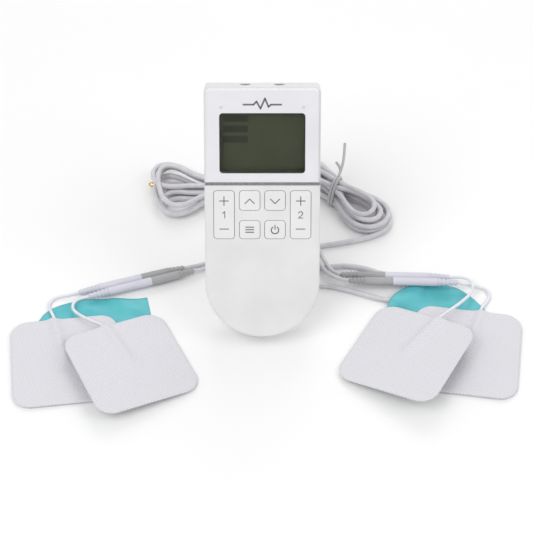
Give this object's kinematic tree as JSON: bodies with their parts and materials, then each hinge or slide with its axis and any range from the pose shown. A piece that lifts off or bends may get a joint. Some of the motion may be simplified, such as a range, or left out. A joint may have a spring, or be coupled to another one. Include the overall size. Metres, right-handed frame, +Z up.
{
  "type": "tens unit",
  "caption": "Hand-held two-channel nerve stimulator leaning on a fold-out leg, with hanked lead wires, pin connectors and square stick-on electrode pads on film liners.",
  "frame": {"origin": "on the floor in the middle of the kit, measured without the lead wires", "axes": "+Z up, +X to the right of someone facing the keys, +Y away from them; the handset leans back towards +Y"},
  "size_m": [0.2425, 0.1635, 0.1068],
  "materials": {
    "bezel_gloss": "polished",
    "board_green": "solder mask",
    "cell_wrap": "printed sleeve",
    "connector_grey": "moulded",
    "contact_steel": "nickel plated",
    "core_black": "ferrite",
    "film_teal": "satin film",
    "frame_plastic": "moulded",
    "gel_clear": "tacky gel",
    "housing_white": "satin moulded",
    "jack_black": "moulded",
    "key_white": "satin moulded",
    "lcd_glass": "satin film",
    "lead_grey": "satin",
    "pad_fabric": "spunlace cloth",
    "pigtail_white": "satin",
    "plug_gold": "gold plated",
    "socket_white": "moulded",
    "switch_black": "moulded",
    "tie_white": "paper faced wire",
    "trim_chrome": "plated",
    "window_clear": "clear"
  },
  "bodies": {
    "kit": {"battery_cells": "cell_wrap", "battery_contacts": "contact_steel", "buzzer": "switch_black", "connector_pins": "contact_steel", "controller_chip": "switch_black", "display_bezel": "bezel_gloss", "display_window": "window_clear", "front_housing": "housing_white", "hank_tie": "tie_white", "housing_screws": "contact_steel", "jack_ch1": "jack_black", "jack_ch2": "jack_black", "lcd_frame": "frame_plastic", "lcd_panel": "lcd_glass", "lead_connector_back_left": "connector_grey", "lead_connector_back_right": "connector_grey", "lead_connector_front_left": "connector_grey", "lead_connector_front_right": "connector_grey", "lead_hank": "lead_grey", "lead_plug_left": "connector_grey", "lead_plug_right": "connector_grey", "lead_splits": "lead_grey", "leg_back_left": "lead_grey", "leg_back_right": "lead_grey", "leg_front_left": "lead_grey", "leg_front_right": "lead_grey", "main_board": "board_green", "output_transformers": "core_black", "pad_back_left": "pad_fabric", "pad_back_right": "pad_fabric", "pad_front_left": "pad_fabric", "pad_front_right": "pad_fabric", "pad_gels": "gel_clear", "pad_socket_back_left": "socket_white", "pad_socket_back_right": "socket_white", "pad_socket_front_left": "socket_white", "pad_socket_front_right": "socket_white", "pigtail_back_left": "pigtail_white", "pigtail_back_right": "pigtail_white", "pigtail_front_left": "pigtail_white", "pigtail_front_right": "pigtail_white", "plug_pins": "plug_gold", "rear_housing": "housing_white", "release_film_left": "film_teal", "release_film_right": "film_teal", "stand_pin": "contact_steel", "tact_switches": "switch_black", "trim_strip": "trim_chrome", "trunk_left": "lead_grey", "trunk_right": "lead_grey"},
    "battery_door": {"battery_door": "housing_white"},
    "key_down": {"key_down": "key_white"},
    "key_mode": {"key_mode": "key_white"},
    "key_power": {"key_power": "key_white"},
    "key_up": {"key_up": "key_white"},
    "rocker_ch1": {"rocker_ch1": "key_white"},
    "rocker_ch2": {"rocker_ch2": "key_white"},
    "stand_leg": {"stand_leg": "housing_white"}
  },
  "joints": [
    {"name": "key_up_press", "type": "slide", "parent": "kit", "child": "key_up", "axis": [0, 0.829, -0.5592], "range_m": [0, 0.0006], "stiffness_N_per_m": 2500, "springref_m": -0.0002},
    {"name": "key_down_press", "type": "slide", "parent": "kit", "child": "key_down", "axis": [0, 0.829, -0.5592], "range_m": [0, 0.0006], "stiffness_N_per_m": 2500, "springref_m": -0.0002},
    {"name": "key_mode_press", "type": "slide", "parent": "kit", "child": "key_mode", "axis": [0, 0.829, -0.5592], "range_m": [0, 0.0006], "stiffness_N_per_m": 2500, "springref_m": -0.0002},
    {"name": "key_power_press", "type": "slide", "parent": "kit", "child": "key_power", "axis": [0, 0.829, -0.5592], "range_m": [0, 0.0006], "stiffness_N_per_m": 2500, "springref_m": -0.0002},
    {"name": "rocker_ch1_rock", "type": "hinge", "parent": "kit", "child": "rocker_ch1", "pos_m": [-0.01945, 0.01605, 0.05713], "axis": [1, 0, 0], "range_deg": [-2.5, 2.5], "stiffness_Nm_per_rad": 0.35},
    {"name": "rocker_ch2_rock", "type": "hinge", "parent": "kit", "child": "rocker_ch2", "pos_m": [0.01565, 0.01605, 0.05713], "axis": [1, 0, 0], "range_deg": [-2.5, 2.5], "stiffness_Nm_per_rad": 0.35},
    {"name": "battery_door_lift", "type": "slide", "parent": "kit", "child": "battery_door", "axis": [0, 0.829, -0.5592], "range_m": [0, 0.02]},
    {"name": "stand_leg_fold", "type": "hinge", "parent": "kit", "child": "stand_leg", "pos_m": [-0.0019, 0.02602, 0.04419], "axis": [1, 0, 0], "range_deg": [-57, 0]}
  ]
}
